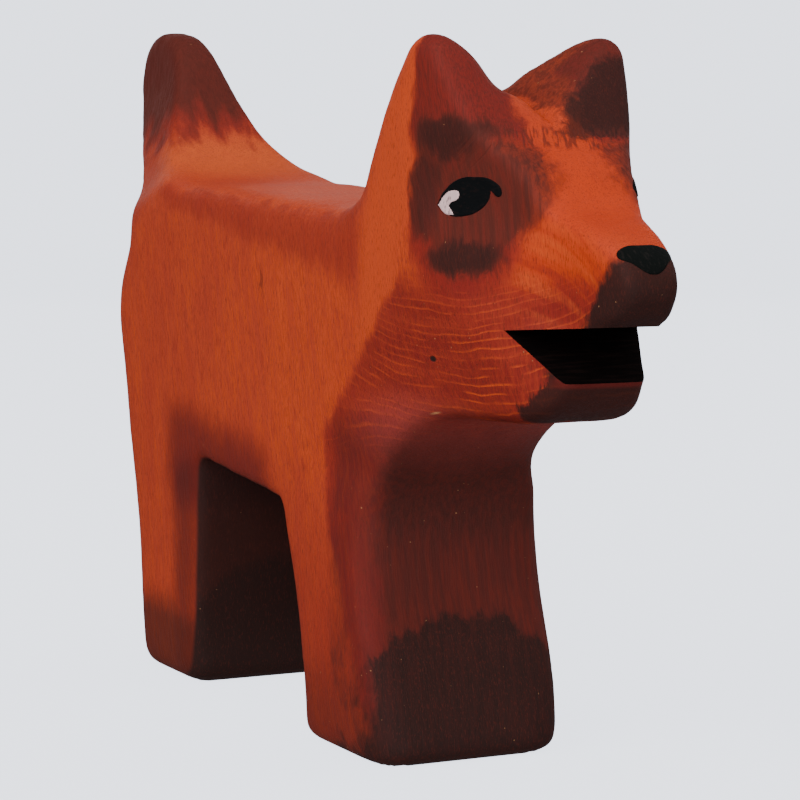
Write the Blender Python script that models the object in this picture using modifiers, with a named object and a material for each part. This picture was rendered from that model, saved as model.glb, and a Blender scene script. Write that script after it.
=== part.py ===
"""Hand-carved wooden dog figurine.

The figure is one block of wood. Its side view is sawn from a plank, the head, ears and tail are carved
down from the plank's thickness, and the whole is sanded until its edges are soft. The eyes, their
highlights and the nose are coats of paint laid on the finished wood.

Metres, +Z up. The dog faces -Y, its left side is +X, and it stands on Z = 0.
"""

import math

import bmesh
import bpy
from mathutils import Matrix, Vector

MM = 0.001

# The plank, seen from the front
PLANK_THICKNESS = 24 * MM

# Legs, seen from the side
FRONT_FOOT = 18.5 * MM
REAR_FOOT = 19.8 * MM
FOOT_GAP = 35 * MM
BELLY_HEIGHT = 26.5 * MM
BELLY_RISE = 2.5 * MM

# Trunk, seen from the side
BACK_HEIGHT = 61 * MM
BACK_RISE = 3 * MM
CHEST_LEAN = 6 * MM
RUMP_LEAN = 8.1 * MM
NECK_SETBACK = 3.2 * MM

# Head, seen from the side, measured from where the neck meets the back
EAR_HEIGHT = 17 * MM
EAR_LEAN = 14.9 * MM
HEAD_LENGTH = 41.5 * MM
BROW_HEIGHT = 7 * MM
NOSE_DROP = 4 * MM
JAW_DROP = 21.5 * MM
NOTCH_RISE = 9.4 * MM
NOTCH_CLIMB = 16.5
NOTCH_SLOPE = 0.85
CHEEK_SETBACK = 12.7 * MM
MUZZLE_WIDTH = 6.6 * MM
JAW_TAPER = 0.18
JAW_FLARE = 0.25
EYE_HOLLOW = 0.7 * MM
HOLLOW_RADIUS = 26 * MM

# Tail, seen from the side, measured from the top of the rump
TAIL_REACH = 14.8 * MM
TAIL_HEIGHT = 19.4 * MM
TAIL_TIP_WIDTH = 6 * MM
TAIL_SWEEP = 18

# Sanding: how far the plank's outer edges, every other edge and the edges near the ground are rounded
SANDING_GRAIN = 0.55 * MM
OUTER_ROUNDING = 3.92 * MM
LIGHT_ROUNDING = 2.12 * MM
SOLE_ROUNDING = 2.8 * MM
BODY_DETAIL = 0.065

# Paint, measured from where the neck meets the back: the places, the nose's size, and the coat itself
EYE_SETBACK = 20.7 * MM
EYE_HEIGHT = 0.4 * MM
LEFT_EYE_LEAD = 4.4 * MM
NOSE_WIDTH = 5.8 * MM
NOSE_TILT = -38
COAT_GAP = 0.3 * MM
COAT_THICKNESS = 0.35 * MM

HALF = PLANK_THICKNESS / 2
NOTCH_HEIGHT = BACK_HEIGHT + NOTCH_RISE

# How far a cutter runs past the wood
CLEAR = 10 * MM


def clear_scene():
    for obj in list(bpy.data.objects):
        bpy.data.objects.remove(obj, do_unlink=True)


def new_collection(name):
    collection = bpy.data.collections.new(name)
    bpy.context.scene.collection.children.link(collection)
    return collection


def mesh_object(name, mesh, collection):
    obj = bpy.data.objects.new(name, mesh)
    collection.objects.link(obj)
    return obj


def corner(y, z):
    return (y, z, "VECTOR")


def bend(y, z):
    return (y, z, "AUTO")


def baked(obj):
    """Puts the object's evaluated shape, in world space and welded, in place of the object."""
    bpy.context.view_layer.update()
    graph = bpy.context.evaluated_depsgraph_get()
    mesh = bpy.data.meshes.new_from_object(obj.evaluated_get(graph))
    mesh.transform(obj.matrix_world)
    bm = bmesh.new()
    bm.from_mesh(mesh)
    bmesh.ops.remove_doubles(bm, verts=bm.verts, dist=0.001 * MM)
    bmesh.ops.recalc_face_normals(bm, faces=bm.faces)
    bm.to_mesh(mesh)
    bm.free()
    name = obj.name
    collection = obj.users_collection[0]
    bpy.data.objects.remove(obj)
    return mesh_object(name, mesh, collection)


def outline(name, points, depth, matrix, collection):
    """A closed outline drawn in its own XY plane, made a solid of this depth about that plane."""
    curve = bpy.data.curves.new(name, "CURVE")
    curve.dimensions = "2D"
    curve.fill_mode = "BOTH"
    curve.resolution_u = 8
    curve.extrude = depth / 2
    spline = curve.splines.new("BEZIER")
    spline.bezier_points.add(len(points) - 1)
    for knot, (x, y, handle) in zip(spline.bezier_points, points):
        knot.co = (x, y, 0)
        knot.handle_left_type = handle
        knot.handle_right_type = handle
    spline.use_cyclic_u = True
    obj = bpy.data.objects.new(name, curve)
    obj.matrix_world = matrix
    collection.objects.link(obj)
    return baked(obj)


def hull(name, points, collection):
    bm = bmesh.new()
    for point in points:
        bm.verts.new(Vector(point))
    found = bmesh.ops.convex_hull(bm, input=bm.verts)
    spare = found["geom_interior"] + found["geom_unused"]
    loose = {item for item in spare if isinstance(item, bmesh.types.BMVert)}
    bmesh.ops.delete(bm, geom=list(loose), context="VERTS")
    bmesh.ops.recalc_face_normals(bm, faces=bm.faces)
    mesh = bpy.data.meshes.new(name)
    bm.to_mesh(mesh)
    bm.free()
    return mesh_object(name, mesh, collection)


def carve(block, tool, operation="DIFFERENCE"):
    modifier = block.modifiers.new(tool.name, "BOOLEAN")
    modifier.operation = operation
    modifier.object = tool
    tool.hide_render = True
    tool.display_type = "WIRE"


# A drawing's own X and Y run along the world's Y and Z in the side view, and X and Z in the rear view
SIDE_VIEW = Matrix(((0, 0, 1, 0), (1, 0, 0, 0), (0, 1, 0, 0), (0, 0, 0, 1)))
REAR_VIEW = Matrix(((1, 0, 0, 0), (0, 0, -1, 0), (0, 1, 0, 0), (0, 0, 0, 1)))


def turned(y, z, climb):
    """Turns what lies level in the rear view so that it climbs towards the tail by this many degrees."""
    about = Matrix.Translation((0, y, z))
    return about @ Matrix.Rotation(math.radians(climb), 4, "X") @ Matrix.Translation((0, 0, -z))


def front_and_head():
    """From the sole of the front foot, up the chest, round the jaw and muzzle, to the ear and the neck."""
    toe = 0
    chest = CHEST_LEAN
    neck = NECK_SETBACK
    nose = neck - HEAD_LENGTH
    tip = neck - EAR_LEAN
    jaw = BACK_HEIGHT - JAW_DROP
    bridge = BACK_HEIGHT - NOSE_DROP
    brow = BACK_HEIGHT + BROW_HEIGHT
    ear = BACK_HEIGHT + EAR_HEIGHT
    return [
        corner(toe - 2.0 * MM, -CLEAR),
        bend(toe - 1.0 * MM, 2 * MM),
        bend(toe + 1.3 * MM, 11 * MM),
        bend(chest - 1.8 * MM, 20 * MM),
        bend(chest - 1.6 * MM, 29 * MM),
        bend(chest - 8.2 * MM, jaw - 3.9 * MM),
        bend(neck - 12.8 * MM, jaw - 1.1 * MM),
        bend(neck - 19.2 * MM, jaw - 1.0 * MM),
        bend(nose + 13.0 * MM, jaw + 0.2 * MM),
        bend(nose + 8.0 * MM, jaw + 5.0 * MM),
        corner(nose + 6.8 * MM, bridge - 8.6 * MM),
        corner(nose + 3.5 * MM, bridge - 8.2 * MM),
        bend(nose + 1.2 * MM, bridge - 6.6 * MM),
        bend(nose + 0.1 * MM, bridge - 3.6 * MM),
        bend(nose + 2.2 * MM, bridge - 0.8 * MM),
        bend(nose + 6 * MM, bridge + 1.3 * MM),
        bend(nose + 11.5 * MM, bridge + 3.6 * MM),
        bend(tip - 12.3 * MM, brow - 4 * MM),
        corner(tip - 7.1 * MM, brow),
        corner(tip - 1.6 * MM, ear - 0.6 * MM),
        bend(tip + 0.6 * MM, ear + 0.4 * MM),
        corner(tip + 3.2 * MM, ear - 0.9 * MM),
        bend(neck - 7.2 * MM, ear - 5.8 * MM),
        bend(neck - 4.4 * MM, ear - 9.7 * MM),
        corner(neck, BACK_HEIGHT + 1 * MM),
    ]


def back_and_tail():
    """From the neck, along the back, round the tail, and down the rump to the sole of the rear foot."""
    heel = FRONT_FOOT + FOOT_GAP + REAR_FOOT
    rump = heel + RUMP_LEAN
    high = BACK_HEIGHT + BACK_RISE
    tip = high + TAIL_HEIGHT
    back = rump + TAIL_REACH
    return [
        bend(NECK_SETBACK + 5 * MM, BACK_HEIGHT - 0.4 * MM),
        bend(NECK_SETBACK + 20.1 * MM, BACK_HEIGHT + 0.2 * MM),
        bend(rump - 37 * MM, BACK_HEIGHT + 0.5 * BACK_RISE),
        bend(rump - 17.6 * MM, high + 0.7 * MM),
        bend(rump - 9.6 * MM, high + 5.4 * MM),
        bend(back - 20.7 * MM, tip - 9.5 * MM),
        bend(back - 15.6 * MM, tip - 2.5 * MM),
        bend(back - 10.4 * MM, tip),
        bend(back - 2.2 * MM, tip - 1.0 * MM),
        bend(back, tip - 5.5 * MM),
        bend(back - 2.6 * MM, tip - 11.0 * MM),
        bend(rump + 4.3 * MM, high),
        corner(rump - 5.4 * MM, high - 7.6 * MM),
        bend(rump - 2.4 * MM, high - 10.4 * MM),
        bend(rump + 0.1 * MM, high - 15 * MM),
        bend(rump - 2.2 * MM, 35 * MM),
        bend(heel + 1.5 * MM, 16 * MM),
        corner(heel + 0.8 * MM, -CLEAR),
    ]


def arch_points():
    front = FRONT_FOOT
    rear = FRONT_FOOT + FOOT_GAP
    return [
        corner(front - 2 * MM, -2 * CLEAR),
        bend(front + 2.2 * MM, 0),
        bend(front + 0.8 * MM, 5 * MM),
        bend(front + 2.0 * MM, 13 * MM),
        corner(front + 6.6 * MM, BELLY_HEIGHT),
        corner(rear - 2.1 * MM, BELLY_HEIGHT + BELLY_RISE),
        bend(rear - 1.0 * MM, 12 * MM),
        bend(rear, 0),
        corner(rear + 1 * MM, -2 * CLEAR),
    ]


def cheek_cut(side, name, cutters):
    """Takes a cheek off the plank, from full width at the ear to the width of the muzzle."""
    edge = NECK_SETBACK - CHEEK_SETBACK
    nose = NECK_SETBACK - HEAD_LENGTH
    plan = [
        corner(HALF + 3.0 * MM, edge + 14 * MM),
        bend(HALF, edge),
        bend(HALF - 0.7 * MM, edge - 3.5 * MM),
        bend(HALF - 2.0 * MM, edge - 7 * MM),
        bend(HALF - 4.6 * MM, edge - 13 * MM),
        bend(HALF - 6.9 * MM, edge - 18 * MM),
        bend(MUZZLE_WIDTH / 2 + 0.6 * MM, nose + 5 * MM),
        corner(MUZZLE_WIDTH / 2 - 2.0 * MM, nose - CLEAR),
        corner(3 * HALF, nose - CLEAR),
        corner(3 * HALF, edge + 14 * MM),
    ]
    points = [(side * x, y, handle) for x, y, handle in plan]
    return outline(f"{name}_cheek_cut", points, 80 * MM, Matrix.Translation((0, 0, BACK_HEIGHT)), cutters)


def jaw_cut(side, name, cutters):
    """Slices the cheek below the eye towards the narrower chin, and runs out on the chest."""
    chin = BACK_HEIGHT - JAW_DROP
    low = chin + 1.5 * MM
    runout = chin - 11 * MM
    top = BACK_HEIGHT + EAR_HEIGHT + CLEAR

    def width(y, z):
        return HALF + JAW_TAPER * (y - NECK_SETBACK) + JAW_FLARE * (z - chin - 4 * MM)

    points = []
    for y in (NECK_SETBACK - HEAD_LENGTH - CLEAR, NECK_SETBACK + 2 * CLEAR):
        wall = [(width(y, top), top), (width(y, low), low), (HALF + 0.6 * MM, runout)]
        wall += [(3 * HALF, top), (3 * HALF, runout)]
        points += [(side * x, y, z) for x, z in wall]
    return hull(f"{name}_jaw_cut", points, cutters)


def tail_cut(side, name, cutters):
    rump = BACK_HEIGHT + BACK_RISE
    tip = rump + TAIL_HEIGHT
    half_tip = TAIL_TIP_WIDTH / 2
    rear = [
        corner(HALF + 3 * MM, rump - 6 * MM),
        bend(HALF - 2.0 * MM, rump - 2 * MM),
        bend(HALF - 4.0 * MM, rump + 1.5 * MM),
        bend(HALF - 6.0 * MM, rump + 6.5 * MM),
        bend(half_tip + 1.2 * MM, rump + 12.5 * MM),
        bend(half_tip, tip - 2 * MM),
        corner(half_tip - 1 * MM, tip + CLEAR),
        corner(3 * HALF, tip + CLEAR),
        corner(3 * HALF, rump - 6 * MM),
    ]
    points = [(side * x, z, handle) for x, z, handle in rear]
    root = FRONT_FOOT + FOOT_GAP + REAR_FOOT
    place = turned(root, rump, -TAIL_SWEEP) @ REAR_VIEW
    return outline(f"{name}_tail_cut", points, 50 * MM, place, cutters)


def eye_hollow(side, name, cutters):
    """Dishes the cheek a little at the height of the eye."""
    cheek_angle = math.radians(23)
    radius = HOLLOW_RADIUS
    out = Vector((side * math.cos(cheek_angle), -math.sin(cheek_angle), 0))
    along = Vector((side * math.sin(cheek_angle), math.cos(cheek_angle), 0))
    setback = NECK_SETBACK - CHEEK_SETBACK - 8 * MM
    middle = Vector((side * (HALF - 2.4 * MM), setback, BACK_HEIGHT + 1 * MM))
    place = Matrix.Translation(middle + out * (radius - EYE_HOLLOW))
    bm = bmesh.new()
    bmesh.ops.create_cone(bm, cap_ends=True, segments=96, radius1=radius, radius2=radius, depth=15 * MM)
    turn = along.to_track_quat("Z", "X").to_matrix().to_4x4()
    bmesh.ops.transform(bm, matrix=place @ turn, verts=bm.verts)
    mesh = bpy.data.meshes.new(f"{name}_eye_hollow")
    bm.to_mesh(mesh)
    bm.free()
    return mesh_object(mesh.name, mesh, cutters)


def notch_frame():
    """Where the wedge between the ears is drawn, seen from behind and climbing to the tail."""
    return turned(NECK_SETBACK - EAR_LEAN, NOTCH_HEIGHT, NOTCH_CLIMB) @ REAR_VIEW


def crown_cut(cutters):
    """Rounds the outer corner of each ear and sinks the wedge between them, seen from the front."""
    brow = BACK_HEIGHT + BROW_HEIGHT
    ear = BACK_HEIGHT + EAR_HEIGHT
    shoulder = ear - 1.5 * MM
    left = [
        corner(3 * HALF, brow - 4 * MM),
        corner(HALF + 1 * MM, brow - 4 * MM),
        bend(HALF + 0.9 * MM, ear - 6.5 * MM),
        bend(HALF + 0.1 * MM, ear - 2.2 * MM),
        bend(HALF - 2.0 * MM, ear - 0.4 * MM),
        corner((shoulder - NOTCH_HEIGHT) / NOTCH_SLOPE, shoulder),
    ]
    right = [(-x, z, handle) for x, z, handle in reversed(left)]
    points = left + [corner(0, NOTCH_HEIGHT)] + right
    points += [corner(-3 * HALF, ear + CLEAR), corner(3 * HALF, ear + CLEAR)]
    return outline("crown_cut", points, 36 * MM, notch_frame(), cutters)


def notch_flare(cutters):
    """Opens the wedge towards the front on the right ear, where the knife ran out sideways."""
    bottom = Vector((0, NECK_SETBACK - EAR_LEAN + 5.5 * MM, NOTCH_HEIGHT + 1.7 * MM))
    along = Vector((-0.46, -0.88, -0.04))
    rise = Vector((-3.6, -2.5, 3.1)) * 2.5 * MM
    corners = []
    for reach, width in ((-3 * MM, 0.5 * MM), (18 * MM, 8 * MM)):
        low = bottom + along * reach
        high = low + rise
        corners += [low, high, low + Vector((width, 0, 0)), high + Vector((width + 9 * MM, 0, 0))]
    return hull("notch_flare", corners, cutters)


def notch_cut(cutters):
    """Cuts the bottom of the wedge between the ears sharp again."""
    reach = 4 * MM
    sides = [corner(x, NOTCH_HEIGHT + reach * NOTCH_SLOPE) for x in (reach, -reach)]
    return outline("notch_cut", [corner(0, NOTCH_HEIGHT)] + sides, 36 * MM, notch_frame(), cutters)


def mouth_cut(cutters):
    nose = NECK_SETBACK - HEAD_LENGTH
    apex = nose + 16.2 * MM
    lip = BACK_HEIGHT - 12.8 * MM
    points = [
        corner(apex, lip),
        corner(nose - CLEAR, lip + 1.5 * MM),
        corner(nose - CLEAR, lip - 5 * MM),
        corner(nose + 9.6 * MM, lip - 5.0 * MM),
    ]
    return outline("mouth_cut", points, 2 * PLANK_THICKNESS, SIDE_VIEW, cutters)


def resample(block, grain):
    remesh = block.modifiers.new("sanding_grain", "REMESH")
    remesh.mode = "VOXEL"
    remesh.voxel_size = grain


def sand(block, rounding, group=""):
    """Smooths the mesh until a square edge is about this round."""
    radius_per_spread = 1.36
    spread = rounding / radius_per_spread / SANDING_GRAIN
    smooth = block.modifiers.new("sanding", "SMOOTH")
    smooth.factor = 0.5
    smooth.iterations = round(2 * spread**2 / smooth.factor)
    smooth.vertex_group = group


def ramp(value, low, high):
    t = min(max((value - low) / (high - low), 0), 1)
    return t * t * (3 - 2 * t)


def mark_edges(block, name, weight):
    """Says how hard each place is sanded, from 0 to 1."""
    group = block.vertex_groups.new(name=name)
    for vertex in block.data.vertices:
        group.add([vertex.index], weight(vertex.co.y, vertex.co.z), "REPLACE")


def outer_edges(y, z):
    """The trunk and the legs are sanded round. The head and the tail keep more of their carved shape."""
    chin = BACK_HEIGHT - JAW_DROP
    high = BACK_HEIGHT + BACK_RISE
    below_head = 1 - ramp(z, chin - 8 * MM, chin + 2 * MM)
    behind_head = ramp(y, NECK_SETBACK - 5 * MM, NECK_SETBACK + 8 * MM)
    below_eye = 1 - ramp(z, BACK_HEIGHT - 8 * MM, BACK_HEIGHT)
    behind_muzzle = ramp(y, NECK_SETBACK - 32 * MM, NECK_SETBACK - 20 * MM)
    cheek = 0.3 * below_eye * behind_muzzle
    below_tail = 1 - ramp(z, high - 3 * MM, high + 3 * MM)
    on_tail = 0.12
    return max(below_head, behind_head, cheek) * (on_tail + (1 - on_tail) * below_tail)


def soles(y, z):
    return 1 - ramp(z, 3 * MM, 8 * MM)


def slab(name, top, collection):
    """A wide flat block under this height."""
    wide = 200 * MM
    bottom = -50 * MM
    corners = [(x, y, z) for x in (-wide, wide) for y in (-wide, wide) for z in (bottom, top)]
    return hull(name, corners, collection)


def eye_outline():
    """An almond drawn out to a point at the front, seen from the side and about its own middle."""
    return [
        corner(4.1, -0.9),
        bend(3.4, 0.4),
        bend(1.5, 1.7),
        bend(-0.4, 1.9),
        bend(-2.6, 1.5),
        bend(-3.6, 0.3),
        bend(-3.3, -0.1),
        corner(-2.3, 0.5),
        bend(-2.0, -0.5),
        bend(-0.9, -1.5),
        bend(0.7, -2.0),
        bend(2.6, -1.9),
    ]


def highlight_outline():
    """A bent fleck at the rear corner of the eye, about the eye's middle."""
    return [
        corner(4.0, -0.9),
        bend(3.2, 0.2),
        bend(2.3, 0.6),
        bend(1.3, 0.3),
        bend(1.5, -0.3),
        bend(2.5, -0.9),
        bend(2.2, -1.4),
        corner(1.8, -1.9),
        bend(3.0, -1.8),
    ]


def highlight_clearance():
    """The fleck's outline grown about its middle and moved forward, so that the black stays clear of it."""
    middle_y, middle_z = 2.6, -0.6
    growth = 1.3
    forward = COAT_GAP / MM
    points = []
    for y, z, handle in highlight_outline():
        grown_y = middle_y + growth * (y - middle_y) - forward
        grown_z = middle_z + growth * (z - middle_z)
        points.append((grown_y, grown_z, handle))
    return points


def nose_outline():
    """A rounded triangle, point down, seen from the front and about its own middle."""
    half = NOSE_WIDTH / 2 / MM
    left = [bend(half - 0.9, 1.6), bend(half, 0.8), bend(half - 0.9, -0.6)]
    right = [(-x, z, handle) for x, z, handle in reversed(left)]
    return [bend(0, 1.8)] + left + [bend(0, -1.9)] + right


def placed(points, y, z):
    """Moves a drawing made in millimetres about its own middle to this place."""
    return [(y + a * MM, z + b * MM, handle) for a, b, handle in points]


def swollen(source, name, distance, collection):
    """A copy of a shape, grown by this distance."""
    copy = mesh_object(name, source.data.copy(), collection)
    copy.hide_render = True
    copy.display_type = "WIRE"
    displace = copy.modifiers.new("grow", "DISPLACE")
    displace.strength = distance
    displace.mid_level = 0
    return copy


def coat(drawn, shells):
    """Keeps of a drawn prism what lies between the two shells round the wood."""
    under, over = shells
    carve(drawn, over, "INTERSECT")
    carve(drawn, under)
    return drawn


def paint(block, figure, cutters):
    """Lays the coats on the finished wood. Gives the black ones, then the white ones."""
    under = swollen(block, "coat_underside", COAT_GAP, cutters)
    over = swollen(block, "coat_top", COAT_GAP + COAT_THICKNESS, cutters)
    shells = (under, over)
    black, white = [], []
    for side, name, lead in ((-1, "right", 0), (1, "left", LEFT_EYE_LEAD)):
        eye = (NECK_SETBACK - EYE_SETBACK - lead, BACK_HEIGHT + EYE_HEIGHT)
        half_view = Matrix.Translation((side * HALF, 0, 0)) @ SIDE_VIEW
        depth = PLANK_THICKNESS - 1 * MM  # stays on its own side of the head
        fleck = outline(f"{name}_eye_highlight", placed(highlight_outline(), *eye), depth, half_view, figure)
        ball = outline(f"{name}_eye", placed(eye_outline(), *eye), depth, half_view, figure)
        grown = placed(highlight_clearance(), *eye)
        carve(ball, outline(f"{name}_highlight_clearance", grown, PLANK_THICKNESS, half_view, cutters))
        black.append(coat(ball, shells))
        white.append(coat(fleck, shells))
    y = NECK_SETBACK - HEAD_LENGTH + 1.2 * MM
    z = BACK_HEIGHT - NOSE_DROP - 1.2 * MM
    place = turned(y, z, NOSE_TILT) @ REAR_VIEW
    nose = outline("nose", placed(nose_outline(), 0, z), 10 * MM, place, figure)
    black.append(coat(nose, shells))
    return black, white


def material(name, color, roughness):
    made = bpy.data.materials.new(name)
    made.use_nodes = True
    shader = made.node_tree.nodes["Principled BSDF"]
    shader.inputs["Base Color"].default_value = (*color, 1)
    shader.inputs["Roughness"].default_value = roughness
    shader.inputs["Metallic"].default_value = 0
    return made


def recentre(figure, cutters):
    """Moves everything so that the origin lies under the middle of the figure, and says how far in Y."""
    bpy.context.view_layer.update()
    graph = bpy.context.evaluated_depsgraph_get()
    corners = [Vector(point) for obj in figure.objects for point in obj.evaluated_get(graph).bound_box]
    x = -(min(p.x for p in corners) + max(p.x for p in corners)) / 2
    y = -(min(p.y for p in corners) + max(p.y for p in corners)) / 2
    for obj in [*figure.objects, *cutters.objects]:
        obj.data.transform(Matrix.Translation((x, y, 0)))
    return y


def sawn_and_sanded(figure, cutters):
    """The block of wood before its last sharp cuts."""
    block = outline("carved_body", front_and_head() + back_and_tail(), PLANK_THICKNESS, SIDE_VIEW, figure)
    for side, name in ((-1, "right"), (1, "left")):
        carve(block, cheek_cut(side, name, cutters))
        carve(block, jaw_cut(side, name, cutters))
        carve(block, eye_hollow(side, name, cutters))
        carve(block, tail_cut(side, name, cutters))
    carve(block, crown_cut(cutters))
    carve(block, notch_flare(cutters))
    resample(block, SANDING_GRAIN)
    block = baked(block)
    mark_edges(block, "outer_edges", outer_edges)
    sand(block, OUTER_ROUNDING, "outer_edges")
    carve(block, outline("arch_cut", arch_points(), 2 * PLANK_THICKNESS, SIDE_VIEW, cutters))
    carve(block, slab("under_foot", -0.3 * MM, cutters))
    resample(block, SANDING_GRAIN)
    block = baked(block)
    mark_edges(block, "soles", soles)
    sand(block, LIGHT_ROUNDING)
    sand(block, SOLE_ROUNDING, "soles")
    thin = block.modifiers.new("fewer_faces", "DECIMATE")
    thin.ratio = BODY_DETAIL
    return baked(block)


def main():
    clear_scene()
    figure = new_collection("wooden_dog")
    cutters = new_collection("cutters")
    block = sawn_and_sanded(figure, cutters)
    black, white = paint(block, figure, cutters)
    carve(block, mouth_cut(cutters))
    carve(block, notch_cut(cutters))
    carve(block, slab("ground_level", 0, cutters))
    finishes = (
        ([block], material("stained_wood", (0.30, 0.060, 0.020), 0.45)),
        (black, material("black_paint", (0.008, 0.009, 0.010), 0.30)),
        (white, material("white_paint", (0.66, 0.60, 0.62), 0.45)),
    )
    for pieces, finish in finishes:
        for piece in pieces:
            piece.data.materials.clear()
            piece.data.materials.append(finish)
    return recentre(figure, cutters)


if __name__ == "__main__":
    main()
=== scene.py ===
"""Wooden dog figurine: its finished look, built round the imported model.

The block of wood is resampled finely and sanded smooth, stained in soft patches, and given brushed
coats of paint for the eyes and the nose. It stands on a pale curved studio floor.

Metres, +Z up. The dog faces -Y and its left side is +X. Places in the finishes, cuts and drawings
are typed in millimetres, and so is the camera's. The floor and the lamps are in metres.
"""

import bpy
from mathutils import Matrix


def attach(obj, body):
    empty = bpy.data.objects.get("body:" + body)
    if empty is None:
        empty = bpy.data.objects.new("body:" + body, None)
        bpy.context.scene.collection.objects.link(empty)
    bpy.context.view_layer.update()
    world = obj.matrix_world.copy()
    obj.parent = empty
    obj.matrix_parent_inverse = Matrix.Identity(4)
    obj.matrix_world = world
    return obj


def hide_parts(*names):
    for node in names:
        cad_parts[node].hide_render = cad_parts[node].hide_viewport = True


bl_info = {
    "name": "Wooden Dog Figurine",
    "version": (1, 0, 0),
    "blender": (4, 5, 0),
    "location": "3D View > Sidebar > Wooden Dog",
    "description": "Finishes the carved dog in stained wood and brushed paint, in a pale studio",
    "category": "Add Mesh",
}

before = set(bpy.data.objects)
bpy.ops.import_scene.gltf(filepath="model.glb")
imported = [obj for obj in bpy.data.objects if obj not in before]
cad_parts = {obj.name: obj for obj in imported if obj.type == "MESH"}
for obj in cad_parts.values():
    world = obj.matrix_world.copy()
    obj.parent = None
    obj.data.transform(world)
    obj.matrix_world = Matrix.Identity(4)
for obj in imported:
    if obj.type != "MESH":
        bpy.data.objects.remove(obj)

import math

import bmesh
import bpy
from bpy.props import FloatProperty, FloatVectorProperty, IntProperty, PointerProperty
from mathutils import Matrix, Vector, noise
from mathutils.bvhtree import BVHTree

MM = 0.001


# What a user may change


def tint(name, description, default):
    return FloatVectorProperty(
        name=name, description=description, subtype="COLOR", size=3, min=0, max=1, default=default)


class DogSizes(bpy.types.PropertyGroup):
    grain: FloatProperty(
        name="Surface Grain", description="Edge of the cells the wood's surface is resampled with",
        default=0.5 * MM, min=0.35 * MM, max=2 * MM, unit="LENGTH", precision=5)
    sanding: IntProperty(
        name="Sanding", description="Rounds of smoothing over the resampled surface",
        default=16, min=0, max=60)
    unevenness: FloatProperty(
        name="Unevenness", description="How far the hand-sanded surface swells and dips",
        default=0.07 * MM, min=0, max=0.5 * MM, unit="LENGTH", precision=5)
    paint: FloatProperty(
        name="Paint Thickness", description="Height of the brushed coats over the wood",
        default=0.09 * MM, min=0.02 * MM, max=0.3 * MM, unit="LENGTH", precision=5)


class DogColours(bpy.types.PropertyGroup):
    honey: tint("Honey", "The palest stain, on the neck and the forehead", (0.55, 0.066, 0.016))
    russet: tint("Russet", "The stain over most of the wood", (0.40, 0.044, 0.019))
    ember: tint("Ember", "The hot orange of the forehead and the muzzle", (0.47, 0.036, 0.006))
    amber: tint("Amber", "The glow at the root of the tail", (0.62, 0.105, 0.024))
    # Madder on the cut cheeks stands for red stain and painted shade both.
    madder: tint("Madder", "The deep red on the cheeks and the chest", (0.19, 0.016, 0.014))
    # Rose is painted light: it lightens the throat where the jaw shades it.
    painted_light_rose: tint("Rose", "The dull red under the jaw", (0.42, 0.076, 0.068))
    maroon: tint("Maroon", "The brown round the eyes and on the tail", (0.085, 0.018, 0.013))
    # Soot also stands for painted shade in the recess between the legs.
    soot: tint("Soot", "The darkest stain, on the feet and the muzzle", (0.026, 0.012, 0.0105))
    bare: tint("Bare Wood", "Where the stain is chipped or dusty", (0.6, 0.3, 0.13))
    black: tint("Black Paint", "The eyes", (0.004, 0.0045, 0.005))
    nose: tint("Nose Paint", "The nose", (0.0045, 0.0055, 0.005))
    white: tint("White Paint", "The flecks in the eyes", (0.68, 0.47, 0.47))
    floor: tint("Floor", "The studio floor and wall", (0.75, 0.79, 0.895))


# The node tree of a finish, written as sums


class Value:
    """What a node gives out. Sums of values add the nodes that work them out."""

    def __init__(self, finish, socket):
        self.finish = finish
        self.socket = socket

    def __add__(self, other):
        return self.finish.sum("ADD", self, other)

    def __sub__(self, other):
        return self.finish.sum("SUBTRACT", self, other)

    def __rsub__(self, other):
        return self.finish.sum("SUBTRACT", other, self)

    def __mul__(self, other):
        return self.finish.sum("MULTIPLY", self, other)

    def __abs__(self):
        return self.finish.sum("ABSOLUTE", self)

    __radd__ = __add__
    __rmul__ = __mul__


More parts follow.
